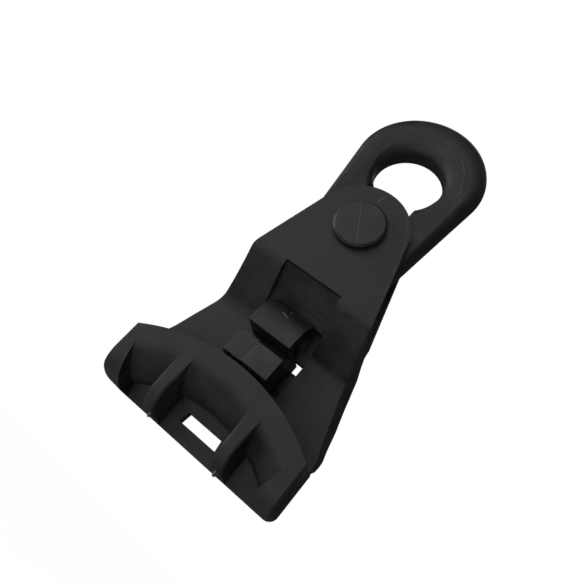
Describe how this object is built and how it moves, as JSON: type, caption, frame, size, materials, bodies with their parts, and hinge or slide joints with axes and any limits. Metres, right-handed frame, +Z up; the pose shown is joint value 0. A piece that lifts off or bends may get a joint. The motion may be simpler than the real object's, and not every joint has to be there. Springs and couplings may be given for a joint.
{
  "type": "suspension clamp",
  "caption": "Moulded aerial cable suspension clamp: a curved cable trough with a sliding keeper, hung by a pin from a teardrop eye link.",
  "frame": {"origin": "centre of the round part of the link's eye, in the middle plane of the link", "axes": "+Z up, from the pivot pin toward the eye; X along the cable in the trough; the clamp's front faces -Y; the pin and the eye's bore run along Y"},
  "size_m": [0.095, 0.04, 0.2066],
  "materials": {
    "body_plastic": "black weatherproof moulding, satin to matte",
    "link_plastic": "black weatherproof moulding, satin to matte",
    "pin_plastic": "black weatherproof moulding, slightly smoother",
    "keeper_plastic": "black weatherproof moulding, satin"
  },
  "bodies": {
    "link": {"suspension_link": "link_plastic"},
    "clamp": {"clamp_body": "body_plastic", "pivot_pin": "pin_plastic"},
    "keeper": {"cable_keeper": "keeper_plastic"}
  },
  "joints": [
    {"name": "clamp_swing", "type": "hinge", "parent": "link", "child": "clamp", "pos_m": [0, 0, -0.041], "axis": [0, 1, 0], "range_deg": [-90, 90]},
    {"name": "keeper_slide", "type": "slide", "parent": "clamp", "child": "keeper", "axis": [0, 0, -1], "range_m": [0, 0.011]}
  ]
}
